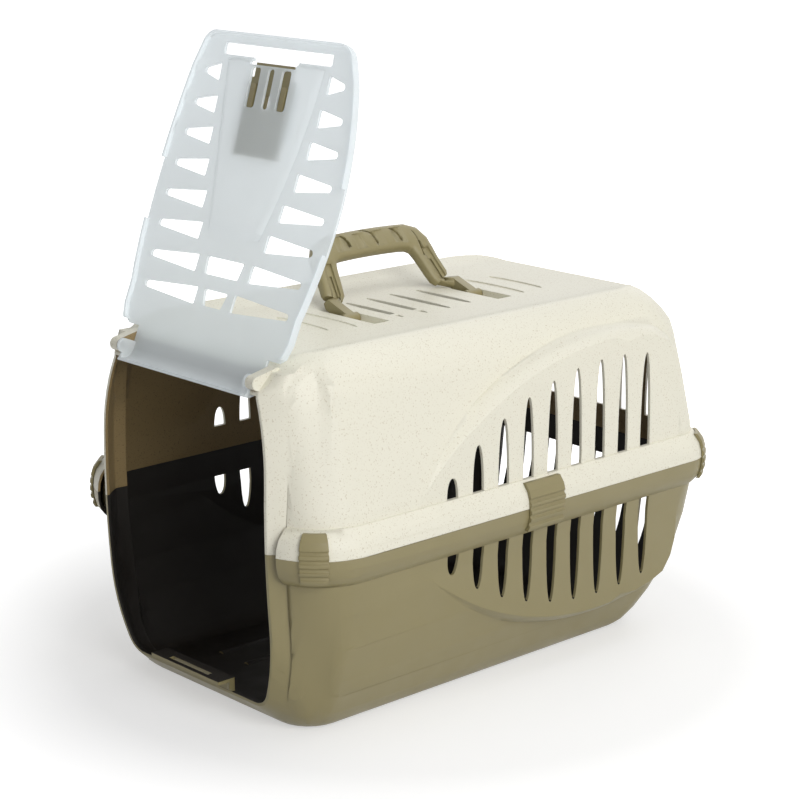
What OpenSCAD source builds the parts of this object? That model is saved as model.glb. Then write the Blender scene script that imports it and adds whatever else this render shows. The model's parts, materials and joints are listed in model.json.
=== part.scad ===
// Small plastic pet carrier: two-part shell, flip-up front door with a sliding latch,
// bail handle on the roof and six ribbed rim clips.
// Millimetres. The front is -Y, the base rests on Z = 0 and its middle is at the origin.
// The door is drawn open, the latch drawn back and the handle lying to the left, as in the photo.

/* [Body] */
// width over the rims
body_w = 333; // [320:1:350]
// length over the rims
body_l = 490; // [470:1:520]
// height of the closed body
body_h = 319; // [312:1:330]
// height of the parting line
part_z = 162; // [160:1:164]
// wall thickness of both shells
wall = 2.8; // [2.4:0.1:3.2]
// radius of the rim corners, seen from above
rim_r = 36; // [32:1:40]
// how far the rim stands out from the wall
rim_out = 9.3; // [8.5:0.1:10]
// depth of the channel along the roof
valley_d = 8; // [6:0.5:9]
// half width of the flat floor of the roof channel
valley_x = 78; // [74:1:80]

/* [Side panels and slots] */
// outer face of the side panels, from the middle plane
lens_x = 155.5; // [154:0.5:156.5]
// width of the bevel round the side panels
lens_bevel = 8; // [6:1:10]
// slots on each side
slot_n = 9; // [7:1:9]
// distance from slot to slot
slot_pitch = 29.66; // [27:0.1:30]
// width of a side slot at the rim
slot_w = 12.8; // [9:0.2:14]
// slots of the rear wall
rear_slot_n = 7; // [3:2:7]
// distance between the slots of the rear wall
rear_pitch = 31; // [26:0.5:32]
// width of a roof slot
roof_slot_w = 7.4; // [5:0.2:9]

/* [Door] */
// thickness of the door
door_t = 2.5; // [2:0.1:3]
// depth of the flange along the sides of the door
door_flange = 4; // [3:0.2:4.2]
// radius of the curve of the door and of the front edge of the shell
front_r = 1080; // [1000:10:1200]
// swing from the drawn, open place to the closed place, in degrees
door_swing = 203; // [196:1:206]
// radius of the stub pins of the door
door_pin_r = 3; // [2.4:0.1:3.5]
// how far the middle panel is raised to the inside
panel_rise = 3; // [2:0.5:3.5]
// height of a slot of the door at its blunt end
door_slot_h = 15; // [10:0.5:17]

/* [Latch] */
// half width of the slider
slider_hw = 28.5; // [26:0.5:30]
// thickness of the slider
slider_t = 2.5; // [2:0.1:2.8]
// travel of the slider
latch_travel = 13; // [10:0.5:14]
// half width of the tongue
tongue_hw = 24; // [18:1:25]

/* [Handle] */
// distance between the two feet
handle_span = 148; // [136:1:156]
// middle of the handle, from the middle of the body
handle_y = 16; // [10:1:22]
// radius of the stub pins of the handle
handle_pin_r = 2.5; // [2:0.1:3]
// thickness of the grip
grip_t = 15; // [12:0.5:17]
// breadth of the grip
grip_b = 25; // [22:0.5:26]
// finger hollows in the grip
grip_n = 4; // [3:1:5]

/* [Clips] */
// width of the clips at the middle of the sides
side_clip_w = 42; // [34:1:50]
// place of the side clips, from the middle of the body
side_clip_y = 17; // [5:1:30]
// width of the clips on the corners, along the rim
corner_clip_w = 28; // [22:1:34]
// thickness of the clips
clip_t = 2.8; // [2.2:0.1:3]

/* [Hidden] */
$fa = 4;
$fs = 0.8;
eps = 0.02;
gap = 0.35;
run_fit = 0.05;
cream = [0.90, 0.89, 0.82];
taupe = [0.57, 0.53, 0.43];
frost = [0.93, 0.95, 0.97, 0.75];

// how far the set sizes move the sides, the ends and the roof from the measured ones
ex = (body_w - 333) / 2;
ey = (body_l - 490) / 2;
ez = body_h - 319;
ep = part_z - 162;
front_y = -body_l / 2;

// front curve: a cylinder about an axis along X
curve_y = front_y + 2 + front_r;
curve_z = 185;
pivot = [0, front_y + 8, 298 + ez];
door_r_in = front_r + 4.5;
door_r_out = door_r_in + door_t;
hood_r_out = pivot[1] - (curve_y - door_r_out);
hood_r_in = hood_r_out - door_t;
hood_hx = 85 + ex;
ear_in = hood_hx + 0.7;
ear_out = 95 + ex;
door_pin_l = 8;

// opening
open_hx = 107 + ex;
sill_z = 24;
head_z = 288 + ez;

// keeper ledge and latch
ledge_z = 33;
ledge_t = 3;
ledge_hx = 46;
bar_z = [30.5, 40.5];
bar_hx = 69;
latch_gap = 0.65;
slider_r = door_r_out - panel_rise + latch_gap;
tongue_end = bar_z[0] + 0.6 + latch_travel;
slider_top = 121;
latch_slot_z = [48.5, 82];
latch_slot_x = 19.5;

// roof, handle and its pockets
floor_z = body_h - valley_d;
handle_z = floor_z - 4;
pocket_hy = 9;
pocket_deep = 9.5;
pocket_hx = 42;
pocket_r = (pocket_hx * pocket_hx + pocket_deep * pocket_deep) / (2 * pocket_deep);
hub_r = 5;
foot_t = 9;
feet = [handle_y - handle_span / 2, handle_y + handle_span / 2];

function sag(z) = front_r - sqrt(front_r * front_r - (z - curve_z) * (z - curve_z));
function arc(c, r, a, b, n) = [for (i = [0:n]) c + r * [cos(a + (b - a) * i / n), sin(a + (b - a) * i / n)]];
function flipped(p) = [for (i = [len(p) - 1:-1:0]) [-p[i][0], p[i][1]]];

// lofted solids

// one ring of a body: half width, front, back and the two corner radii, set off inwards by o
function ring(r, o, n = 6) =
  let (hx = r[1] + ex - o, yf = r[2] - 24 - ey + o, yb = r[3] - 24 + ey - o,
       rf = r[4] - o, rb = r[5] - o)
  concat(arc([hx - rf, yf + rf], rf, -90, 0, n), arc([hx - rb, yb - rb], rb, 0, 90, n),
         arc([rb - hx, yb - rb], rb, 90, 180, n), arc([rf - hx, yf + rf], rf, 180, 270, n));

function middle(ring) = [for (r = ring) 1] * ring / len(ring);

// joins rings of points with the same count, bottom to top, and closes both ends with fans
module skin(rings) {
  n = len(rings[0]);
  m = len(rings);
  points = concat([for (r = rings) each r], [middle(rings[0]), middle(rings[m - 1])]);
  sides = [for (k = [0:m - 2]) for (i = [0:n - 1]) for (h = [0, 1])
    let (a = k * n + i, b = k * n + (i + 1) % n)
    h == 0 ? [a, a + n, b + n] : [a, b + n, b]];
  ends = [for (i = [0:n - 1]) for (h = [0, 1])
    let (j = (i + 1) % n, top = (m - 1) * n)
    h == 0 ? [i, j, m * n] : [top + j, top + i, m * n + 1]];
  polyhedron(points, concat(sides, ends), convexity = 10);
}

// a closed tube: every loop follows the same outline at another offset
module tube(loops) {
  n = len(loops[0]);
  m = len(loops);
  polyhedron([for (l = loops) each l], [for (k = [0:m - 1]) for (i = [0:n - 1]) for (h = [0, 1])
    let (a = k * n + i, b = k * n + (i + 1) % n, c = ((k + 1) % m) * n + (i + 1) % n, d = ((k + 1) % m) * n + i)
    h == 0 ? [a, c, b] : [a, d, c]], convexity = 10);
}

// rings of the tub and of the cover: height, half width, front, back, front and back corner radius
tub = [[0, 108, -178, 206, 26, 26], [2, 113, -184, 213, 30, 30], [7, 119, -190, 220, 34, 34],
  [16, 125, -195, 227.5, 36, 36], [34, 134, -200, 235.5, 35, 35], [49, 140, -203, 240.5, 34, 34],
  [79, 149, -206, 249.5, 32, 32], [109, 154, -208.5, 255.5, 29, 30],
  [137 + ep, 156.7, -210, 259, 28, 28], [162 + ep, 157.2, -211, 259.7, 26.7, 26.7]];
cover = [[162 + ep, 157.2, -211, 259.7, 26.7, 26.7], [194 + ez, 154.5, -209.5, 258.5, 26, 28],
  [234 + ez, 146.5, -207.5, 258, 28, 32], [274 + ez, 138.5, -204.5, 257, 32, 38],
  [286 + ez, 136.5, -202, 254.5, 34, 40], [296 + ez, 132, -199, 249.5, 34, 42],
  [304 + ez, 126, -194, 243.5, 34, 42], [311 + ez, 118.6, -188, 236, 33, 40],
  [316 + ez, 109.5, -180, 227, 32, 38], [319 + ez, 98, -170, 214, 30, 36]];

// outward normal of the side profile at ring i
function side_normal(t, i) =
  let (a = t[max(i - 1, 0)], b = t[min(i + 1, len(t) - 1)],
       d = [b[1] - a[1], b[0] - a[0]])
  [d[1], -d[0]] / norm(d);

function shell_rings(t, o, up, down) = [for (i = [0:len(t) - 1])
  let (n = side_normal(t, i), top = i == len(t) - 1, low = i == 0,
       z = t[i][0] - (top ? (up == 0 ? o : -up) : low ? (down == 0 ? -o : down) : o * n[1]))
  [for (p = ring(t[i], o * (top && up == 0 || low && down == 0 ? 1 : n[0]))) [p[0], p[1], z]]];

module tub_body(o = 0) { skin(shell_rings(tub, o, o == 0 ? eps / 2 : 2, 0)); }
module cover_body(o = 0) { skin(shell_rings(cover, o, 0, o == 0 ? eps / 2 : 2)); }

// the front opening and the side panels

// right half of the front opening, grown by o
function half_opening(o) = concat(
  [[0, sill_z - o]],
  arc([76.5 + ex, 42.5], 18.5 + o, -90, -24, 6),
  arc([-50 + ex, 99], 157 + o, -20, 0, 5),
  [for (z = [119:20:200]) [open_hx + o, z]],
  arc([-65 + ex, 219 + ez], 172 + o, 0, 23, 6),
  [[open_hx - 13.5 + 0.92 * o, head_z + o], [0, head_z + o]]);
function opening(o) = let (h = half_opening(o)) concat(h, [for (p = flipped(h)) if (abs(p[0]) > 0.01) p]);

// prism of the opening through the whole front wall
module opening_prism(o, y0, y1) {
  translate([0, y1, 0])
    rotate([90, 0, 0])
      linear_extrude(y1 - y0)
        polygon(opening(o));
}

// collar round the opening: its front edge follows the front curve
module collar() {
  profile = [[17, -219], [17, -230], [2.6, -243], [0, -243], [0, -240.2],
    [17 - wall - 0.6, -228], [17 - wall - 0.6, -219]];
  tube([for (q = profile) [for (p = opening(q[0])) [p[0], q[1] - ey + sag(p[1]), p[1]]]]);
}

// a side panel is bounded by an arc above, an arc below and a rounded end at the rear
lens_mid = [30, 168 + ez / 2];
lens_up = [107, -16 + ez / 2];
lens_up_r = 305;
lens_low = [99, 370 + ez / 2];
lens_low_r = 323;
lens_end = [200 + ey, 71 + ez / 2, 50];

// distance from a point inside a circle to its line, in direction u
function to_circle(from, u, c, r) = let (d = from - c, b = d * u) -b + sqrt(max(b * b - d * d + r * r, 0));
function to_end(u, o) =
  let (t = u[0] < 0.01 ? 9999 : (lens_end[0] + o - lens_mid[0]) / u[0], z = t * u[1])
  abs(z) <= lens_end[1] ? t
  : let (c = [lens_end[0] - lens_end[2] - lens_mid[0], sign(u[1]) * lens_end[1]], r = lens_end[2] + o)
    abs(c[0] * u[1] - c[1] * u[0]) > r - 1 || u[0] < 0 ? 9999 : to_circle([0, 0], u, c, r);
// direction of the pointed front end
function lens_tip(o) =
  let (c = lens_low - lens_up, d = norm(c), r1 = lens_up_r + o, r2 = lens_low_r + o,
       a = (r1 * r1 - r2 * r2 + d * d) / (2 * d), h = sqrt(r1 * r1 - a * a),
       p = lens_up + a * c / d + h * [-c[1], c[0]] / d - lens_mid)
  atan2(p[1], p[0]);
// outline of a side panel in the YZ plane, grown by o, at the distance x from the middle plane
function lens_ring(o, x) = let (tip = (lens_tip(o) + 360) % 360)
  [for (a = [each [0:5:170], tip - 4, tip, tip + 4, each [190:5:355]]) let (u = [cos(a), sin(a)],
    t = min(to_circle(lens_mid, u, lens_up, lens_up_r + o),
            to_circle(lens_mid, u, lens_low, lens_low_r + o),
            to_end(u, o)),
    p = lens_mid + t * u) [x, p[0], p[1]]];

// bevelled side panel as a solid that reaches into the body, set off inwards by o
module lens(o) {
  face = lens_x + ex - o;
  b = lens_bevel;
  steps = o > 0 ? [[b, 12]] : [[b, 12], [0.55 * b, 5.2], [0.16 * b, 1.2]];
  skin([lens_ring(b - o, 110), for (q = steps) lens_ring(q[0] - o, face - q[1]), lens_ring(-o, face)]);
}

module both_sides() {
  children();
  mirror([1, 0, 0]) children();
}

// one long slot with a rounded tip, standing on the line z = 0, h high and w wide at its foot
module leaf_2d(w, h, n = 9) {
  side = [for (i = [0:n]) [w / 2 * pow(max(cos(90 * i / n), 0), 0.85), h * sin(90 * i / n)]];
  polygon(concat(side, [for (p = flipped(side)) if (p[0] < -0.01) p]));
}

// all slots of both sides, from the rim up or down to an arc
module side_slots(up) {
  for (i = [0:slot_n - 1]) {
    y = -83.3 + (i - (slot_n - 9) / 2) * slot_pitch + 4 * (29.66 - slot_pitch);
    top = -16 + ez / 2 + sqrt(290 * 290 - (y - 107) * (y - 107));
    low = 370 + ez / 2 - sqrt(310 * 310 - (y - 99) * (y - 99));
    h = up ? top - rim_top : rim_low - low;
    translate([-200, y, up ? rim_top : rim_low])
      rotate([90, 0, 90])
        linear_extrude(400)
          scale([1, up ? 1 : -1]) leaf_2d(slot_w, h);
  }
}

// slots of the rear wall, from the rim up or down
module rear_slots(up) {
  for (i = [(1 - rear_slot_n) / 2:(rear_slot_n - 1) / 2]) {
    h = up ? 81 + ez - ep - 1.6 * i * i : 87 + ep - i * i;
    translate([i * rear_pitch, 300 + ey, up ? rim_top : rim_low])
      rotate([90, 0, 0])
        linear_extrude(110)
          scale([1, up ? 1 : -1]) leaf_2d(slot_w, h);
  }
}

// the rim
rim_top = 185 + ep;
rim_low = 137.4 + ep;
rim_hx = body_w / 2;
rim_hy = body_l / 2;
rim_k = rim_out / 9.3;

// outer line of the rim as [distance in from the outer face, height]
upper_line = [[0, 162 + ep], [-0.6, 169 + ep], [-2.8 * rim_k, 176 + ep], [-rim_out - 0.3, rim_top]];
lower_line = [[0, 162 + ep], [-0.3, 154 + ep], [-2.3 * rim_k, 146 + ep], [-5.8 * rim_k, 141 + ep],
  [-rim_out, rim_low]];

module upper_rim_2d() {
  difference() {
    polygon(concat(upper_line, [[-rim_out - 3.9, rim_top], [-rim_out - 3.9, 162 + ep]]));
    polygon([[-rim_out - 0.4, 161 + ep], [-2.3, 161 + ep], [-2.9, 169 + ep], [-5.4, 175.5 + ep],
      [-rim_out - 0.4, 179 + ep]]);
  }
}

module lower_rim_2d() {
  difference() {
    polygon(concat(lower_line, [[-rim_out - 3.9, rim_low], [-rim_out - 3.9, 162 + ep]]));
    polygon([[-6.6, 163 + ep], [-2.3, 163 + ep], [-2.6, 154 + ep], [-4.2, 147.5 + ep], [-6.6, 147.5 + ep]]);
  }
  translate([-8.9, 161 + ep]) square([1.9, 6]);
}

// outline of the whole rim, on which the clips are seated
module rim_line_2d() {
  polygon(concat([for (i = [len(upper_line) - 1:-1:0]) upper_line[i]],
    [for (i = [1:len(lower_line) - 1]) lower_line[i]],
    [[-30, rim_low], [-30, rim_top]]));
}

// carries a rim profile all the way round
module rim_sweep() {
  for (a = [0:3]) {
    hx = a % 2 == 0 ? rim_hx : rim_hy;
    hy = a % 2 == 0 ? rim_hy : rim_hx;
    rotate(90 * a) {
      translate([hx - rim_r, hy - rim_r, 0])
        rotate_extrude(angle = 90) translate([rim_r, 0]) children();
      translate([hx, hy - rim_r, 0])
        rotate([90, 0, 0])
          linear_extrude(2 * (hy - rim_r)) children();
    }
  }
}

module below_part(h = 200) { translate([-300, -400, part_z - h]) cube([600, 800, h]); }
module above_part(h = 200) { translate([-300, -400, part_z]) cube([600, 800, h]); }

// the lower shell
module keeper_ledge() {
  y_front = front_y;
  y_back = curve_y - sqrt(front_r * front_r - pow(curve_z - sill_z, 2)) + 0.3;
  tongue_in = curve_y - sqrt(pow(slider_r, 2) - pow(curve_z - ledge_z, 2));
  tongue_out = tongue_in - slider_t;
  difference() {
    union() {
      translate([-ledge_hx, y_front, ledge_z]) cube([2 * ledge_hx, y_back - y_front + 3, ledge_t]);
      translate([-ledge_hx, y_back, sill_z - 1.5]) cube([2 * ledge_hx, 3, ledge_z + ledge_t - sill_z + 1.5]);
      for (s = [-1, 1])
        translate([s * (ledge_hx - 1.5) - 1.5, y_back - 2.8, sill_z + 2.2]) cube([3, 4, ledge_z - sill_z - 1]);
    }
    translate([-tongue_hw - 2.5, tongue_out - 1.4, ledge_z - 1])
      cube([2 * tongue_hw + 5, slider_t + 2.2, ledge_t + 2]);
  }
}

module lower_shell() {
  color(taupe) {
    difference() {
      union() {
        intersection() {
          union() {
            tub_body();
            both_sides() lens(0);
          }
          below_part();
        }
        rim_sweep() lower_rim_2d();
      }
      tub_cavity();
      side_slots(false);
      rear_slots(false);
      opening_prism(14, front_y - 20, front_y + 60);
      opening_prism(0, front_y - 20, front_y + 60);
    }
    intersection() {
      collar();
      below_part();
    }
    keeper_ledge();
    floor_ribs();
  }
}

// room inside the tub: the wall follows the outside, the rim stays whole
module tub_cavity() {
  tub_body(wall);
  intersection() {
    both_sides() lens(wall);
    below_part(199);
  }
}

// shallow ribs along the floor
module floor_ribs() {
  for (x = [-72, -36, 0, 36, 72])
    translate([x, 0, wall])
      rotate([90, 0, 0])
        linear_extrude(300, center = true)
          polygon([[-4, -0.5], [4, -0.5], [1.5, 1.8], [-1.5, 1.8]]);
}

// the upper shell
module valley_cut(o) {
  edge = valley_x + 27;
  translate([0, 400, 0])
    rotate([90, 0, 0])
      linear_extrude(800)
        polygon([[-edge - o - 40, body_h + 12], [-edge - o, body_h], [-valley_x - o, floor_z - o],
          [valley_x + o, floor_z - o], [edge + o, body_h], [edge + o + 40, body_h + 12]]);
}

module cover_cavity() {
  difference() {
    union() {
      cover_body(wall);
      intersection() {
        both_sides() lens(wall);
        translate([-300, -400, part_z - 1]) cube([600, 800, 180]);
      }
    }
    valley_cut(wall);
  }
}

// scooped pocket for a foot of the handle
module pocket(o, h) {
  translate([0, -pocket_hy - h, floor_z - pocket_deep + pocket_r])
    rotate([-90, 0, 0]) cylinder(r = pocket_r + o, h = 2 * (pocket_hy + h), $fn = 120);
}

module roof_leaf(y, half, w, bridge) {
  translate([0, y, floor_z - wall - 1])
    linear_extrude(wall + 2)
      difference() {
        for (a = [-90, 90]) rotate(a) leaf_2d(w, half);
        if (bridge) translate([24, -10]) square([5, 20]);
      }
}

module roof_groove(y, half, w) {
  translate([0, y, floor_z - 1])
    linear_extrude(3)
      for (a = [-90, 90]) rotate(a) leaf_2d(w, half);
}

// ear that carries one end of the door
module ear() {
  y = pivot[1];
  z = pivot[2];
  difference() {
    translate([ear_in, 0, 0])
      rotate([90, 0, 90])
        linear_extrude(ear_out - ear_in) {
          translate([y, z]) circle(5.8);
          polygon([[y - 1, z - 5.6], [y + 8, z - 9], [y + 30, z - 7], [y + 30, z + 7], [y + 20, z + 10],
            [y - 2, z + 5.4]]);
        }
    translate([ear_in - 1, y, z]) rotate([0, 90, 0]) cylinder(r = door_pin_r + run_fit, h = door_pin_l + 2);
  }
}

module upper_shell() {
  color(cream) {
    difference() {
      union() {
        difference() {
          union() {
            intersection() {
              union() {
                cover_body();
                both_sides() lens(0);
              }
              above_part();
            }
            intersection() {
              rim_sweep() upper_rim_2d();
              above_part();
            }
          }
          valley_cut(0);
          cover_cavity();
          side_slots(true);
          rear_slots(true);
        }
        intersection() {
          for (y = feet) translate([0, y, 0]) pocket(2.5, 2.8);
          translate([-60, -200, floor_z - 20]) cube([120, 400, 20 - eps]);
        }
      }
      for (y = feet) {
        translate([0, y, 0]) pocket(0, 0);
        translate([0, y - 15, handle_z]) rotate([-90, 0, 0]) cylinder(r = handle_pin_r + run_fit, h = 30);
      }
      for (q = [[-30, 38, 1], [-3.5, 40, 1], [24, 40, 0], [53, 36, 0]])
        roof_leaf(handle_y - 16 + q[0], q[1], roof_slot_w, q[2] == 1);
      for (q = [[-85, 40], [-112, 34], [118, 38], [145, 34]])
        roof_groove(q[0], q[1], roof_slot_w + 2);
      opening_prism(14, front_y - 20, front_y + 45);
      door_room();
    }
    difference() {
      intersection() {
        collar();
        above_part();
      }
      door_room();
    }
    both_sides() ear();
  }
}

// room that the hood of the door turns in
module door_room() {
  room_hx = ear_in;
  translate([-room_hx, pivot[1], pivot[2]])
    rotate([0, 90, 0]) cylinder(r = hood_r_out + 0.5, h = 2 * room_hx);
  // the way of the open door past the front edge of the roof
  translate([-room_hx, pivot[1] - 20, pivot[2] - 6]) cube([2 * room_hx, 38.4, 15.5]);
}

// the door

// right half of the door outline, seen from the front, from the free edge up
function door_half() = concat(
  [[0, 22]],
  arc([78.5 + ex, 40], 18, -90, -18, 6),
  arc([-282.5 + ex, 159], 400, -15.5, 12, 14),
  [[108.5 + ex, 262 + ez], [105 + ex, 274 + ez], [99 + ex, 278 + ez], [hood_hx, 278 + ez]],
  [[hood_hx, pivot[2] + 30], [0, pivot[2] + 30]]);
module door_outline_2d(o) {
  h = door_half();
  offset(delta = o) polygon(concat(h, [for (p = flipped(h)) if (abs(p[0]) > 0.01) p]));
}

// side section of the door between two radii, closed place: curve, straight part and hood
module door_section_2d(r0, r1) {
  difference() {
    translate([curve_y, curve_z]) circle(r1, $fn = 480);
    translate([curve_y, curve_z]) circle(r0, $fn = 480);
    translate([curve_y - r1 - 1, curve_z]) square([2 * r1 + 2, r1 + 1]);
    translate([curve_y - 0.9 * r1, curve_z - r1 - 1]) square([2 * r1 + 2, r1 + 2]);
    translate([curve_y - r1 - 1, -500]) square([300, 510]);
  }
  translate([curve_y - r1, curve_z - eps]) square([r1 - r0, pivot[2] - curve_z + 2 * eps]);
}

module door_sheet(r0, r1, hx) {
  translate([-hx, 0, 0]) rotate([90, 0, 90]) linear_extrude(2 * hx) door_section_2d(r0, r1);
}

module door_hood() {
  translate([-hood_hx, 0, 0])
    rotate([90, 0, 90])
      linear_extrude(2 * hood_hx)
        translate([pivot[1], pivot[2]])
          intersection() {
            difference() {
              circle(hood_r_out);
              circle(hood_r_in);
            }
            translate([-20, -0.5]) square([21, 20]);
          }
  for (s = [-1, 1]) {
    translate([s * (hood_hx - door_t / 2) - door_t / 2, pivot[1], pivot[2]]) {
      rotate([90, 0, 90])
        linear_extrude(door_t) {
          circle(6);
          intersection() {
            circle(hood_r_out - 0.2);
            translate([-20, -6]) square([20, 26]);
          }
        }
    }
    translate([s > 0 ? hood_hx - eps : -hood_hx - door_pin_l, pivot[1], pivot[2]])
      rotate([0, 90, 0]) cylinder(r = door_pin_r, h = door_pin_l + eps);
  }
}

// half width of the raised panel at height z: foot and top of its sloped wall
function panel_foot(z) = 62 - 28 * pow(max(z - 41, 0) / 146, 1.35);
function panel_top(z) = panel_foot(z) - 8;

// raised middle panel: hat-shaped sections that follow the curve of the door and tuck into its sheet
module panel_strip() {
  tuck = 0.6;
  zs = [41, 45, 60, 76, 92, 108, 124, 140, 156, 172, 182, 190];
  skin([for (z = zs)
    let (f = panel_foot(z), t = panel_top(z), h = (z < 42 || z > 188) ? -tuck : panel_rise,
         k = (z < 42 || z > 188) ? tuck - door_t : panel_rise - door_t,
         y = curve_y - sqrt(pow(door_r_in, 2) - pow(curve_z - min(z, curve_z), 2)),
         a = y - tuck, b = y - door_t + tuck)
    [[f + 2, a, z], [f, a, z], [t, y + h, z], [-t, y + h, z], [-f, a, z], [-f - 2, a, z],
     [-f - 2, b, z], [1.5 - f, b, z], [1.5 - t, y + k, z], [t - 1.5, y + k, z], [f - 1.5, b, z],
     [f + 2, b, z]]]);
}

// slot with a blunt inner end at x0 and a rounded tip at x1
module door_slot_2d(x0, x1, h) {
  tip = 3;
  hull() {
    translate([x1 - tip, 0]) circle(tip, $fn = 24);
    translate([x0 + 1.5, h / 2 - 1.5]) circle(1.5, $fn = 16);
    translate([x0 + 1.5, 1.5 - h / 2]) circle(1.5, $fn = 16);
  }
}

// rows of slots: distance below the pivot, inner and outer end
rows = [[242.7, 68.5, 89.2], [215.5, 65.4, 94.9], [189.3, 62.1, 98.4], [162.3, 57, 101.1],
  [135.8, 48.9, 102.6], [109.5, 42.5, 100.5], [82.8, 34.4, 98.2], [56.3, 23.9, 94.4]];

module door_holes_2d() {
  for (r = rows) {
    translate([0, 298 - r[0]]) {
      door_slot_2d(r[1], r[2] + ex, door_slot_h);
      mirror([1, 0]) door_slot_2d(r[1], r[2] + ex, door_slot_h);
    }
  }
  translate([0, 298 - 82.8]) offset(r = 2) polygon([[-22, -5.5], [22, -5.5], [20, 5.5], [-20, 5.5]]);
  translate([0, 298 - 56.3]) offset(r = 2) polygon([[-13, -5], [13, -5], [10, 5], [-10, 5]]);
  // slot for the keeper ledge, and the way of the slider down to it
  translate([-bar_hx, bar_z[0]])
    offset(r = 2) translate([2, 2]) square([2 * bar_hx - 4, bar_z[1] - bar_z[0] - 4]);
  translate([-slider_hw - 0.6, bar_z[1] - 3]) square([2 * slider_hw + 1.2, 9.4]);
  for (q = [[-latch_slot_x, 12], [0, 8], [latch_slot_x, 12]])
    translate([q[0] - q[1] / 2, latch_slot_z[0]])
      offset(r = 3) translate([3, 3]) square([q[1] - 6, latch_slot_z[1] - latch_slot_z[0] - 6]);
}

module along_front() {
  translate([0, front_y + 60, 0]) rotate([90, 0, 0]) linear_extrude(140) children();
}

// guide rails of the slider on the outside of the door, with a lip over its edges
module latch_rails() {
  x = slider_hw + gap;
  both_sides() {
    intersection() {
      door_sheet(door_r_out - panel_rise - 0.6, slider_r + slider_t + 2.4, 40);
      along_front() translate([x, 60]) square([2.4, 44]);
    }
    intersection() {
      door_sheet(slider_r + slider_t + 0.9, slider_r + slider_t + 2.4, 40);
      along_front() translate([x - 2.4, 60]) square([3, 44]);
    }
  }
}

// the door in its closed place
module door_closed() {
  difference() {
    union() {
      difference() {
        intersection() {
          door_sheet(door_r_in, door_r_out, 130 + ex);
          along_front() door_outline_2d(0);
        }
        along_front() panel_foot_2d();
      }
      panel_strip();
      // flange along the sides and the free edge
      intersection() {
        door_sheet(door_r_in - door_flange, door_r_in + 0.5, 130 + ex);
        along_front() difference() {
          door_outline_2d(-0.1);
          door_outline_2d(-door_t);
          translate([-200, 275 + ez]) square([400, 100]);
          translate([-200, 134 + ep]) square([400, 54]);
        }
      }
    }
    along_front() door_holes_2d();
  }
  door_hood();
  latch_rails();
}

module panel_foot_2d() {
  right = [for (z = [43, 60, 76, 92, 108, 124, 140, 156, 172, 188]) [panel_foot(z) - 0.3, z]];
  polygon(concat(right, flipped(right)));
}

// turns what is drawn in the closed place into the drawn, open place
module opened() {
  translate(pivot) rotate([-door_swing, 0, 0]) translate(-pivot) children();
}

module door() {
  color(frost) opened() door_closed();
}

// the latch
module door_latch() {
  color(taupe) opened() {
    difference() {
      intersection() {
        door_sheet(slider_r, slider_r + slider_t, 60);
        along_front() union() {
          translate([-slider_hw, 56]) square([2 * slider_hw, slider_top - 56]);
          translate([-tongue_hw, tongue_end]) square([2 * tongue_hw, 20]);
        }
      }
      along_front() translate([-3, 70]) square([6, 12]);
    }
    // pegs in the slots of the door
    intersection() {
      door_sheet(slider_r - door_t - latch_gap + 0.2, slider_r + eps, 60);
      along_front() for (s = [-1, 1])
        translate([s * latch_slot_x - 2.9, latch_slot_z[0] + latch_travel + 0.5])
          square([5.8, latch_slot_z[1] - latch_slot_z[0] - latch_travel - 1]);
    }
    // thumb ribs
    intersection() {
      door_sheet(slider_r + slider_t - eps, slider_r + slider_t + 2, 60);
      along_front() for (z = [96:6:116]) translate([-20, z]) square([40, 2.5]);
    }
  }
}

// the handle
knee = [-28, 312 + ez];
grip_c = [-65, 360 + ez];
grip_a = atan2(knee[0] - grip_c[0], grip_c[1] - knee[1]);

// puts what is drawn in the plane of the bail in its place: X along the grip, Y up the legs
module on_bail() {
  translate([knee[0], handle_y, knee[1]]) rotate([0, -grip_a, 0]) rotate([90, 0, 90]) children();
}

// line through the middle of the bail, from a foot to the grip: place, half breadth and half thickness
bail_e = (handle_span - 148) / 2;
bail_half = [[65.6, 6.2, 8.8, 4.8], [63.6, 10, 10.8, 6], [61.8, 18, 11, 6], [60.2, 27, 11.2, 6.2],
  [58.9, 36, 11.8, 6.6], [57.2, 44, 12.8, 7], [52.8, 50.2, 13.6, 7.4], [45, 53.6, 13, grip_t / 2],
  [35, 54.4, grip_b / 2, grip_t / 2], [18, 55, grip_b / 2, grip_t / 2]];
bail_line = concat([for (q = bail_half) [q[0] + bail_e, q[1], q[2], q[3]]], [[0, 55.2, grip_b / 2, grip_t / 2]],
  [for (i = [len(bail_half) - 1:-1:0]) let (q = bail_half[i]) [-q[0] - bail_e, q[1], q[2], q[3]]]);

function soft(v) = sign(v) * pow(abs(v), 0.62);
module bail() {
  last = len(bail_line) - 1;
  on_bail() skin([for (i = [0:last])
    let (q = bail_line[i], a = bail_line[max(i - 1, 0)], b = bail_line[min(i + 1, last)],
         t = [b[0] - a[0], b[1] - a[1]] / norm([b[0] - a[0], b[1] - a[1]]))
    [for (k = [0:19]) let (c = q[2] * soft(cos(18 * k)), h = q[3] * soft(sin(18 * k)))
      [q[0] - t[1] * c, q[1] + t[0] * c, h]]]);
}

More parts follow.
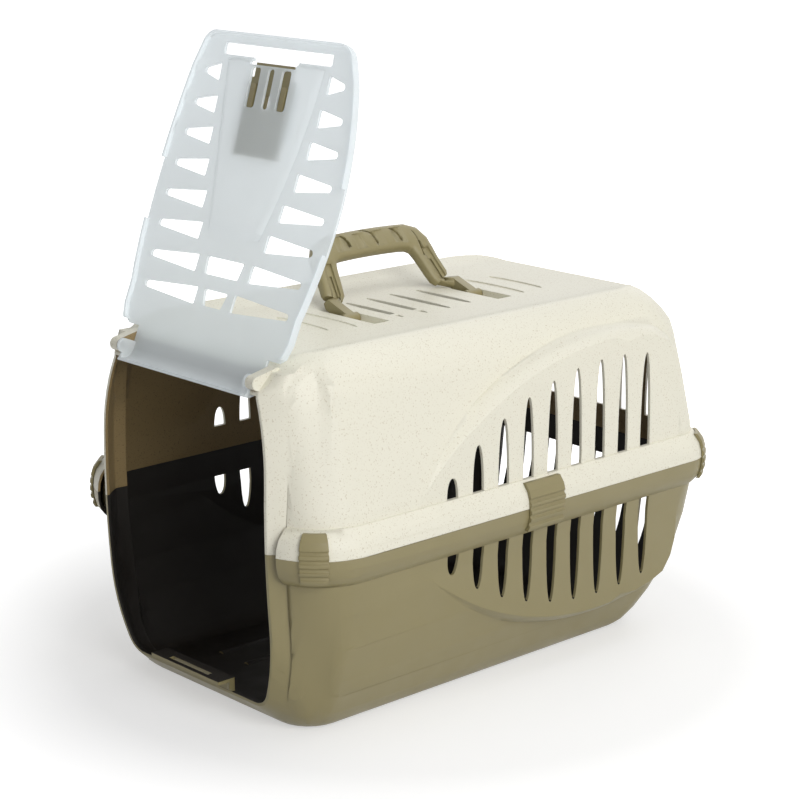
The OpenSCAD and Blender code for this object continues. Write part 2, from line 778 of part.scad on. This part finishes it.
module half_handle(s) {
  y = handle_y + s * handle_span / 2;
  translate([0, y - pocket_hy + 0.5, handle_z]) rotate([-90, 0, 0]) cylinder(r = hub_r, h = 2 * pocket_hy - 1);
  translate([0, y - pocket_hy - 2.4, handle_z])
    rotate([-90, 0, 0]) cylinder(r = handle_pin_r, h = 2 * pocket_hy + 4.8);
  hull() {
    translate([0, y - foot_t / 2, handle_z]) rotate([-90, 0, 0]) cylinder(r = hub_r, h = foot_t);
    translate([knee[0] + 5, y - foot_t / 2, knee[1] + 3.3]) rotate([-90, 0, 0]) cylinder(r = 5, h = foot_t);
  }
  hull() {
    translate([knee[0] + 5, y - foot_t / 2, knee[1] + 3.3]) rotate([-90, 0, 0]) cylinder(r = 5, h = foot_t);
    on_bail() translate([s * (65.5 + bail_e), 6, 0]) cube([15, 1, 8.6], center = true);
  }
}

module handle() {
  color(taupe) {
    half_handle(-1);
    half_handle(1);
    difference() {
      bail();
      on_bail() {
        // long hollows in the legs and finger hollows in the grip
        for (s = [-1, 1])
          translate([s * (61.6 + bail_e), 22, 6.2]) rotate([0, 0, s * 9]) cube([8, 34, 3.6], center = true);
        for (i = [0:grip_n - 1])
          translate([(i - (grip_n - 1) / 2) * 23, 55, grip_t / 2 + 20.3])
            rotate([90, 0, 0]) cylinder(r = 22, h = 15, center = true, $fn = 90);
      }
    }
  }
}

// the clips

// section of a clip: it follows the rim and ends in a small roll below and a hook above
module clip_2d() {
  difference() {
    intersection() {
      difference() {
        offset(r = clip_t + gap, $fn = 24) rim_line_2d();
        offset(r = gap, $fn = 24) rim_line_2d();
      }
      translate([-rim_out + 1.5, 142 + ep]) square([rim_out + 20, 41.5]);
    }
    for (q = [[-1.6, 148.5], [-0.2, 155.5], [0, 162.5], [-0.75, 169.5]])
      translate([clip_t + gap + q[0] + 0.7, q[1] + ep]) circle(2.2, $fn = 20);
  }
}

module side_clip() {
  translate([rim_hx, side_clip_y - side_clip_w / 2, 0])
    rotate([90, 0, 180]) mirror([1, 0, 0])
      linear_extrude(side_clip_w) clip_2d();
}

// clip on the corner of the quadrant x > 0, y > 0
module corner_clip() {
  a = corner_clip_w / (2 * (rim_r + 2)) * 180 / PI;
  translate([rim_hx - rim_r, rim_hy - rim_r, 0])
    rotate([0, 0, 45 - a])
      rotate_extrude(angle = 2 * a) translate([rim_r, 0]) clip_2d();
}

module clip_side_right() { color(taupe) side_clip(); }
module clip_side_left() { color(taupe) mirror([1, 0, 0]) side_clip(); }
module clip_rear_right() { color(taupe) corner_clip(); }
module clip_rear_left() { color(taupe) mirror([1, 0, 0]) corner_clip(); }
module clip_front_right() { color(taupe) mirror([0, 1, 0]) corner_clip(); }
module clip_front_left() { color(taupe) rotate([0, 0, 180]) corner_clip(); }

lower_shell();
upper_shell();
door();
door_latch();
handle();
clip_side_right();
clip_side_left();
clip_front_right();
clip_front_left();
clip_rear_right();
clip_rear_left();
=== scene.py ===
# Dresses the pet carrier and sets the camera, light and floor as in the photo.
import json
import math

import bmesh
import bpy
from mathutils import Euler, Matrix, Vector


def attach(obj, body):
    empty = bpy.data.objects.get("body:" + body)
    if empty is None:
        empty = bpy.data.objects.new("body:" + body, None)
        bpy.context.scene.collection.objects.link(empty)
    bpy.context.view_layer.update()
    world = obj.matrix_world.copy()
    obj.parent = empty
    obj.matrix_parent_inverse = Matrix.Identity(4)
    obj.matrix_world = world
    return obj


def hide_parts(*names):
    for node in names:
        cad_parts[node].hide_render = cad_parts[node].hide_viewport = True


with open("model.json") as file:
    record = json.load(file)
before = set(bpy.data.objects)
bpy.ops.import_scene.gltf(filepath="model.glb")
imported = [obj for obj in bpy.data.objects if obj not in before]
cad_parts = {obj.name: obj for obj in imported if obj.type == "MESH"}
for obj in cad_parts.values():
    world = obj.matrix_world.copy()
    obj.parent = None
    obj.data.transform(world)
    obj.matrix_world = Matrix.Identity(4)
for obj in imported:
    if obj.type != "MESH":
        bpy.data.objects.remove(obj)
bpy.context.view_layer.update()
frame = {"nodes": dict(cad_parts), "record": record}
nodes = frame["nodes"]
bodies = frame["record"]["behaviour"]["bodies"]
body_of = {node: body for body, members in bodies.items() for node in members}

# camera, in the row frame: place in metres, turn round the object and tilt down in degrees,
# lens and sensor width in millimetres, and how many metres it sees
CAMERA_AT = (1.40366, -1.29054, 0.72798)
CAMERA_TURN = 47.38
CAMERA_DOWN = 14.80
LENS = 99.7
SENSOR = 36.0
CAMERA_SEES_TO = 100

# linear colours
TAUPE = (0.272, 0.232, 0.112)
# painted shade: a near-black copy of the taupe for the faces inside the lower shell, also used for the
# specks of the shaded cream
TAUPE_PAINTED_SHADE = (0.010, 0.008, 0.006)
CREAM = (0.815, 0.788, 0.665)
# painted shade: a dark brown copy of the cream for the faces inside the upper shell
CREAM_PAINTED_SHADE = (0.30, 0.215, 0.10)
SPECK = (0.42, 0.33, 0.19)
FROST = (0.90, 0.94, 0.95)
FROST_THROUGH = (0.95, 0.98, 1.0)
FROST_CLEAR = (0.95, 0.97, 0.98)

# how rounded the edges look, in metres, and how rough the plastics are
EDGE = 0.0009
TAUPE_ROUGHNESS = 0.40
TAUPE_PAINTED_SHADE_ROUGHNESS = 0.5
CREAM_ROUGHNESS = 0.46
FROST_ROUGHNESS = 0.24

# noise runs from about the first level to the second
NOISE_LOW = 0.3
NOISE_HIGH = 0.7

# slow drift of the colours: scale of its noise, and how far it goes either way
TAUPE_DRIFT = (9.0, 0.04)
CREAM_DRIFT = (7.0, 0.015)
FROST_DRIFT = (14.0, 0.03)

# moulded grain: scale of its noise, strength, and depth in metres
TAUPE_GRAIN = (1500.0, 0.10, 0.0003)
CREAM_GRAIN = (1300.0, 0.10, 0.0003)
FROST_GRAIN = (700.0, 0.05, 0.0002)

# wear of the taupe: scale of its noise, and how much less and more rough it gets
WEAR_SCALE = 45.0
WEAR_LESS = 0.04
WEAR_MORE = 0.07

# specks in the cream: scale of their noise, the level below which a speck starts,
# how far below that level it shows in full, and how strongly it then shows
SPECK_SCALE = 760.0
SPECK_LEVEL = 0.36
SPECK_SOFTNESS = 0.05
SPECK_STRENGTH = 0.42

# the door: share of light that comes through milky, and share that comes through clear
MILKY_SHARE = 0.42
CLEAR_SHARE = 0.26

# making the smooth copies: metres between points that are one, and degrees of a flat and of a sharp edge
SAME_POINT = 0.00002
FLAT_EDGE = 0.4
SHARP_EDGE = 32

# the room inside the shells, in metres: half the length of its middle line, and the height of that line;
# a face looks inside where its normal points at the line by more than this cosine, and then gets painted
# shade
ROOM_HALF = 0.15
ROOM_HEIGHT = 0.16
INWARD = 0.3

# the rim seen from above, in metres: half width, half length,
# and the radius of its front corners in the CAD part and as drawn here
RIM_HX = 0.1665
RIM_HY = 0.245
CAD_CORNER = 0.036
FRONT_CORNER = 0.062

# the corners are drawn in fully above the second height, and not at all below the first
CORNER_FADE = (0.010, 0.055)
# the same for the distance from the middle of the corner, in parts of its radius
REACH_FADE = (0.2, 0.6)
# the faces near a corner are cut in strips first, so that they can bend;
# a point that is no further from a cut than the last number counts as on it
STRIPS = 4
STRIP_WIDTH = 0.007
ON_CUT = 0.00001

# the plane of the handle at rest: a point on its axis, the way up in the plane, and the way out of it
BAIL_AT = Vector((-0.028, 0.0, 0.312))
BAIL_UP = Vector((-0.6106, 0.0, 0.7921))
BAIL_OUT = Vector((0.7921, 0.0, 0.6106))

# the cuts in the handle run between these distances out of its plane
CUT_FROM = 0.0028
CUT_TO = 0.0130

# hooks cut in the face of the grip: start along y, start up the plane, run along y, drop
HOOKS = [(-0.0212, 0.0655, 0.0130, 0.0150),
         (0.0086, 0.0655, 0.0170, 0.0155),
         (0.0425, 0.0625, 0.0120, 0.0130),
         (0.0670, 0.0570, 0.0055, 0.0260)]

# slots cut in the legs of the handle: outlines in the plane
LEG_SLOTS = [[(0.0750, 0.0270), (0.0774, 0.0270), (0.0812, 0.0020), (0.0788, 0.0020)],
             [(-0.0430, 0.0270), (-0.0454, 0.0270), (-0.0492, 0.0020), (-0.0468, 0.0020)]]

# points along a hook, its width at the start, and how much wider it gets from point to point
HOOK_POINTS = 11
HOOK_WIDTH = 0.0008
HOOK_GROWTH = 0.00024

# the floor: its size and place, its glow near the object and far from it, the distances between which
# the glow changes, and how pale it is where it isn't seen and where it is
FLOOR_SIZE = 60
FLOOR_AT = (0, 0, -0.0006)
FLOOR_GLOW = (0.49, 1.02)
FLOOR_FADE = (0.30, 0.58)
FLOOR_UNSEEN = 0.80
FLOOR_LIT = 0.60

# what the lamps look at, and each lamp's name, place, size in metres and power in watts;
# the key light stands to the right, so the open front stays dark inside
LOOK_AT = (0, 0, 0.16)
LAMPS = [("key", (3.0, -0.7, 1.7), 2.2, 67),
         ("top", (0.6, 0.9, 3.0), 2.4, 27),
         ("back", (-1.6, 2.8, 2.0), 2.0, 16)]

# how bright the white around the object is as a light
AMBIENT = 0.22


def new_material(name):
    mat = bpy.data.materials.new(name)
    mat.use_nodes = True
    tree = mat.node_tree
    tree.nodes.clear()
    out = tree.nodes.new("ShaderNodeOutputMaterial")
    return mat, tree, out


def add(tree, kind, **inputs):
    node = tree.nodes.new(kind)
    for name, value in inputs.items():
        node.inputs[name.replace("_", " ")].default_value = value
    return node


def rgba(colour, factor=1.0):
    return (colour[0] * factor, colour[1] * factor, colour[2] * factor, 1.0)


def grey(value):
    return (value, value, value, 1.0)


def object_noise(tree, scale, detail=2.0):
    coords = tree.nodes.new("ShaderNodeTexCoord")
    noise = add(tree, "ShaderNodeTexNoise", Scale=scale, Detail=detail)
    tree.links.new(coords.outputs["Object"], noise.inputs["Vector"])
    return noise


# from one colour to another, each with its place
def ramp(tree, source, stops):
    node = tree.nodes.new("ShaderNodeValToRGB")
    elements = node.color_ramp.elements
    for element, (place, colour) in zip(elements, stops):
        element.position = place
        element.color = colour
    tree.links.new(source, node.inputs["Fac"])
    return node


# a colour that drifts a little from place to place
def drifting_tint(tree, colour, scale, drift):
    cloud = object_noise(tree, scale)
    stops = [(NOISE_LOW, rgba(colour, 1 - drift)), (NOISE_HIGH, rgba(colour, 1 + drift))]
    return ramp(tree, cloud.outputs["Fac"], stops)


# fine moulded grain over softly rounded edges
def surface_normal(tree, body, grain_scale, strength, distance):
    edge = tree.nodes.new("ShaderNodeBevel")
    edge.samples = 4
    edge.inputs["Radius"].default_value = EDGE
    grain = object_noise(tree, grain_scale, 3.0)
    bump = add(tree, "ShaderNodeBump", Strength=strength, Distance=distance)
    tree.links.new(grain.outputs["Fac"], bump.inputs["Height"])
    tree.links.new(edge.outputs["Normal"], bump.inputs["Normal"])
    tree.links.new(bump.outputs["Normal"], body.inputs["Normal"])


# satin plastic
def taupe_plastic(name, colour, roughness):
    mat, tree, out = new_material(name)
    body = add(tree, "ShaderNodeBsdfPrincipled", Roughness=roughness)
    tint = drifting_tint(tree, colour, *TAUPE_DRIFT)
    tree.links.new(tint.outputs["Color"], body.inputs["Base Color"])
    wear = object_noise(tree, WEAR_SCALE, 4.0)
    stops = [(NOISE_LOW, grey(roughness - WEAR_LESS)), (NOISE_HIGH, grey(roughness + WEAR_MORE))]
    gloss = ramp(tree, wear.outputs["Fac"], stops)
    tree.links.new(gloss.outputs["Color"], body.inputs["Roughness"])
    surface_normal(tree, body, *TAUPE_GRAIN)
    tree.links.new(body.outputs["BSDF"], out.inputs["Surface"])
    return mat


# matte plastic with fine specks, as plastic filled with plant fibre has
def cream_plastic(name, colour, speck):
    mat, tree, out = new_material(name)
    body = add(tree, "ShaderNodeBsdfPrincipled", Roughness=CREAM_ROUGHNESS)
    tint = drifting_tint(tree, colour, *CREAM_DRIFT)
    specks = object_noise(tree, SPECK_SCALE, 1.0)
    stops = [(SPECK_LEVEL - SPECK_SOFTNESS, grey(SPECK_STRENGTH)), (SPECK_LEVEL, grey(0.0))]
    dots = ramp(tree, specks.outputs["Fac"], stops)
    mix = tree.nodes.new("ShaderNodeMixRGB")
    mix.inputs["Color2"].default_value = rgba(speck)
    tree.links.new(dots.outputs["Color"], mix.inputs["Fac"])
    tree.links.new(tint.outputs["Color"], mix.inputs["Color1"])
    tree.links.new(mix.outputs["Color"], body.inputs["Base Color"])
    surface_normal(tree, body, *CREAM_GRAIN)
    tree.links.new(body.outputs["BSDF"], out.inputs["Surface"])
    return mat


# milky plastic that light shines through
def frosted_plastic():
    mat, tree, out = new_material("frosted_plastic")
    skin = add(tree, "ShaderNodeBsdfPrincipled", Roughness=FROST_ROUGHNESS)
    tint = drifting_tint(tree, FROST, *FROST_DRIFT)
    tree.links.new(tint.outputs["Color"], skin.inputs["Base Color"])
    surface_normal(tree, skin, *FROST_GRAIN)
    through = tree.nodes.new("ShaderNodeBsdfTranslucent")
    through.inputs["Color"].default_value = rgba(FROST_THROUGH)
    milk = add(tree, "ShaderNodeMixShader", Fac=MILKY_SHARE)
    tree.links.new(skin.outputs["BSDF"], milk.inputs[1])
    tree.links.new(through.outputs["BSDF"], milk.inputs[2])
    clear = tree.nodes.new("ShaderNodeBsdfTransparent")
    clear.inputs["Color"].default_value = rgba(FROST_CLEAR)
    mix = add(tree, "ShaderNodeMixShader", Fac=CLEAR_SHARE)
    tree.links.new(milk.outputs["Shader"], mix.inputs[1])
    tree.links.new(clear.outputs["BSDF"], mix.inputs[2])
    tree.links.new(mix.outputs["Shader"], out.inputs["Surface"])
    return mat


# the faces of a shell that look at the room inside it; they get the darker copy of the plastic, with
# painted shade
def looks_inside(face):
    centre = face.calc_center_median()
    middle = Vector((0, max(-ROOM_HALF, min(ROOM_HALF, centre.y)), ROOM_HEIGHT))
    return face.normal.dot((centre - middle).normalized()) < -INWARD


# 0 up to low, 1 from high on, and a soft rise between them
def smooth_step(value, low, high):
    t = max(0.0, min(1.0, (value - low) / (high - low)))
    return t * t * (3 - 2 * t)


# how far the CAD part's corner reaches from the middle of the wider corner, in the direction of an angle
def cad_reach(angle):
    c, s = math.cos(angle), math.sin(angle)
    straight = FRONT_CORNER - CAD_CORNER
    if FRONT_CORNER * s < straight * c:
        return FRONT_CORNER / c
    if FRONT_CORNER * c < straight * s:
        return FRONT_CORNER / s
    half = straight * (c + s)
    return half + math.sqrt(half * half - 2 * straight * straight + CAD_CORNER * CAD_CORNER)


# draws the two front corners in to a wider round, as the photo shows; the foot keeps its place
def widen_front_corners(shape):
    mid_x, mid_y = RIM_HX - FRONT_CORNER, FRONT_CORNER - RIM_HY
    steps = [k * STRIP_WIDTH for k in range(STRIPS)]
    cuts = [((0, mid_y - step, 0), (0, 1, 0)) for step in steps]
    cuts += [((side * (mid_x + step), 0, 0), (1, 0, 0)) for step in steps for side in (-1, 1)]
    for place, normal in cuts:
        everything = shape.verts[:] + shape.edges[:] + shape.faces[:]
        bmesh.ops.bisect_plane(shape, geom=everything, dist=ON_CUT, plane_co=place, plane_no=normal)
    for vert in shape.verts:
        u, v = abs(vert.co.x) - mid_x, mid_y - vert.co.y
        if u <= 0 or v <= 0:
            continue
        reach = math.hypot(u, v)
        drawn = cad_reach(math.atan2(v, u)) - FRONT_CORNER
        share = smooth_step(vert.co.z, *CORNER_FADE) * smooth_step(reach / FRONT_CORNER, *REACH_FADE)
        scale = 1 - drawn * share / reach
        vert.co.x = math.copysign(mid_x + u * scale, vert.co.x)
        vert.co.y = mid_y - v * scale


# a closed block over an outline in the plane of the handle, between two distances out of the plane
def bail_block(outline, low, high):
    shape = bmesh.new()
    rings = []
    for height in (low, high):
        ring = []
        for y, u in outline:
            ring.append(shape.verts.new(BAIL_AT + Vector((0, y, 0)) + BAIL_UP * u + BAIL_OUT * height))
        rings.append(ring)
    count = len(outline)
    for k in range(count):
        n = (k + 1) % count
        shape.faces.new((rings[0][k], rings[0][n], rings[1][n], rings[1][k]))
    shape.faces.new(rings[0])
    shape.faces.new(rings[1])
    bmesh.ops.recalc_face_normals(shape, faces=shape.faces)
    mesh = bpy.data.meshes.new("block")
    shape.to_mesh(mesh)
    shape.free()
    return mesh


# a quarter of an oval ring that grows wider on its way down
def hook_outline(y, u, run, drop):
    outer, inner = [], []
    for k in range(HOOK_POINTS):
        turn = math.radians(90 - 90 * k / (HOOK_POINTS - 1))
        width = HOOK_WIDTH + HOOK_GROWTH * k
        outer.append((y + run * math.cos(turn), u - drop + drop * math.sin(turn)))
        inner.append((y + (run - width) * math.cos(turn), u - drop + (drop - width) * math.sin(turn)))
    return outer + inner[::-1]


# a mesh with other closed meshes cut out of it
def carve(mesh, cutters):
    link = bpy.context.scene.collection.objects.link
    block = bpy.data.objects.new("carved", mesh)
    link(block)
    helpers = [block]
    for cutter_mesh in cutters:
        cutter = bpy.data.objects.new("cutter", cutter_mesh)
        link(cutter)
        helpers.append(cutter)
        cut = block.modifiers.new("cut", "BOOLEAN")
        cut.operation = "DIFFERENCE"
        cut.solver = "EXACT"
        cut.object = cutter
    graph = bpy.context.evaluated_depsgraph_get()
    result = bpy.data.meshes.new_from_object(block.evaluated_get(graph))
    for helper in helpers:
        bpy.data.objects.remove(helper)
    return result


# adds a smooth copy of a CAD node that stands for it
def smooth_skin(node, material, painted_shade_material=None):
    mesh = nodes[node].data.copy()
    if node == "handle":
        outlines = [hook_outline(*hook) for hook in HOOKS] + LEG_SLOTS
        mesh = carve(mesh, [bail_block(outline, CUT_FROM, CUT_TO) for outline in outlines])
    mesh.name = node + "_skin"
    mesh.materials.clear()
    mesh.materials.append(material)
    # the second material is a darker copy of the plastic with painted shade, for the faces that look
    # inside a shell
    if painted_shade_material:
        mesh.materials.append(painted_shade_material)
    shape = bmesh.new()
    shape.from_mesh(mesh)
    bmesh.ops.remove_doubles(shape, verts=shape.verts, dist=SAME_POINT)
    if node.endswith("shell") or node.startswith("clip_front"):
        widen_front_corners(shape)
    flat = math.radians(FLAT_EDGE)
    bmesh.ops.dissolve_limit(shape, angle_limit=flat, verts=shape.verts, edges=shape.edges)
    for face in shape.faces:
        face.smooth = True
        # faces that look inside the shell get the copy with painted shade
        face.material_index = 1 if painted_shade_material and looks_inside(face) else 0
    shape.to_mesh(mesh)
    shape.free()
    mesh.set_sharp_from_angle(angle=math.radians(SHARP_EDGE))
    skin = bpy.data.objects.new(node + "_skin", mesh)
    bpy.context.scene.collection.objects.link(skin)
    weighted = skin.modifiers.new("weighted", "WEIGHTED_NORMAL")
    weighted.keep_sharp = True
    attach(skin, body_of[node])
    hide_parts(node)


# white with a soft shadow where it is seen, and a plain pale floor for all other rays
def floor():
    bpy.ops.mesh.primitive_plane_add(size=FLOOR_SIZE, location=FLOOR_AT)
    plane = bpy.context.object
    plane.name = "floor"
    mat, tree, out = new_material("floor")
    plain = tree.nodes.new("ShaderNodeBsdfDiffuse")
    plain.inputs["Color"].default_value = grey(FLOOR_UNSEEN)
    lit = tree.nodes.new("ShaderNodeBsdfDiffuse")
    lit.inputs["Color"].default_value = grey(FLOOR_LIT)
    # the glow grows away from the object, so only the shadow near it shows
    coords = tree.nodes.new("ShaderNodeTexCoord")
    away = tree.nodes.new("ShaderNodeVectorMath")
    away.operation = "LENGTH"
    tree.links.new(coords.outputs["Object"], away.inputs[0])
    fade = tree.nodes.new("ShaderNodeMapRange")
    for name, (near, far) in (("From", FLOOR_FADE), ("To", FLOOR_GLOW)):
        fade.inputs[name + " Min"].default_value = near
        fade.inputs[name + " Max"].default_value = far
    tree.links.new(away.outputs["Value"], fade.inputs["Value"])
    glow = tree.nodes.new("ShaderNodeEmission")
    tree.links.new(fade.outputs["Result"], glow.inputs["Strength"])
    both = tree.nodes.new("ShaderNodeAddShader")
    tree.links.new(lit.outputs["BSDF"], both.inputs[0])
    tree.links.new(glow.outputs["Emission"], both.inputs[1])
    mix = tree.nodes.new("ShaderNodeMixShader")
    tree.links.new(seen_rays(tree), mix.inputs[0])
    tree.links.new(plain.outputs["BSDF"], mix.inputs[1])
    tree.links.new(both.outputs["Shader"], mix.inputs[2])
    tree.links.new(mix.outputs["Shader"], out.inputs["Surface"])
    plane.data.materials.append(mat)


# 1 for camera, glossy and transmission rays
def seen_rays(tree):
    rays = tree.nodes.new("ShaderNodeLightPath")
    first = tree.nodes.new("ShaderNodeMath")
    first.operation = "MAXIMUM"
    second = tree.nodes.new("ShaderNodeMath")
    second.operation = "MAXIMUM"
    tree.links.new(rays.outputs["Is Camera Ray"], first.inputs[0])
    tree.links.new(rays.outputs["Is Glossy Ray"], first.inputs[1])
    tree.links.new(first.outputs["Value"], second.inputs[0])
    tree.links.new(rays.outputs["Is Transmission Ray"], second.inputs[1])
    return second.outputs["Value"]


# white where it is seen, and a dimmer white that lights the object
def white_world():
    world = bpy.data.worlds.new("white")
    bpy.context.scene.world = world
    world.use_nodes = True
    tree = world.node_tree
    tree.nodes.clear()
    out = tree.nodes.new("ShaderNodeOutputWorld")
    ambient = add(tree, "ShaderNodeBackground", Strength=AMBIENT)
    ambient.inputs["Color"].default_value = grey(1.0)
    backdrop = add(tree, "ShaderNodeBackground", Strength=1.0)
    backdrop.inputs["Color"].default_value = grey(1.0)
    mix = tree.nodes.new("ShaderNodeMixShader")
    tree.links.new(seen_rays(tree), mix.inputs[0])
    tree.links.new(ambient.outputs["Background"], mix.inputs[1])
    tree.links.new(backdrop.outputs["Background"], mix.inputs[2])
    tree.links.new(mix.outputs["Shader"], out.inputs["Surface"])


def area_light(name, at, size, power):
    data = bpy.data.lights.new(name, "AREA")
    data.shape = "SQUARE"
    data.size = size
    data.energy = power
    lamp = bpy.data.objects.new(name, data)
    lamp.location = at
    lamp.rotation_euler = (Vector(LOOK_AT) - Vector(at)).to_track_quat("-Z", "Y").to_euler()
    bpy.context.scene.collection.objects.link(lamp)


def camera():
    data = bpy.data.cameras.new("camera")
    data.sensor_width = SENSOR
    data.lens = LENS
    data.clip_end = CAMERA_SEES_TO
    eye = bpy.data.objects.new("camera", data)
    eye.location = CAMERA_AT
    eye.rotation_euler = Euler((math.radians(90 - CAMERA_DOWN), 0, math.radians(CAMERA_TURN)))
    bpy.context.scene.collection.objects.link(eye)
    bpy.context.scene.camera = eye


camera()
taupe = taupe_plastic("taupe_plastic", TAUPE, TAUPE_ROUGHNESS)
# darker copies of the taupe and the cream with painted shade, for the faces inside the shells
taupe_painted_shade = taupe_plastic("taupe_painted_shade", TAUPE_PAINTED_SHADE, TAUPE_PAINTED_SHADE_ROUGHNESS)
cream = cream_plastic("cream_plastic", CREAM, SPECK)
cream_painted_shade = cream_plastic("cream_painted_shade", CREAM_PAINTED_SHADE, TAUPE_PAINTED_SHADE)
frost = frosted_plastic()

for name in nodes:
    if name == "upper_shell":
        smooth_skin(name, cream, cream_painted_shade)
    elif name == "lower_shell":
        smooth_skin(name, taupe, taupe_painted_shade)
    elif name == "door":
        smooth_skin(name, frost)
    else:
        smooth_skin(name, taupe)

floor()
white_world()
for lamp in LAMPS:
    area_light(*lamp)
bpy.context.scene.view_settings.view_transform = "Standard"
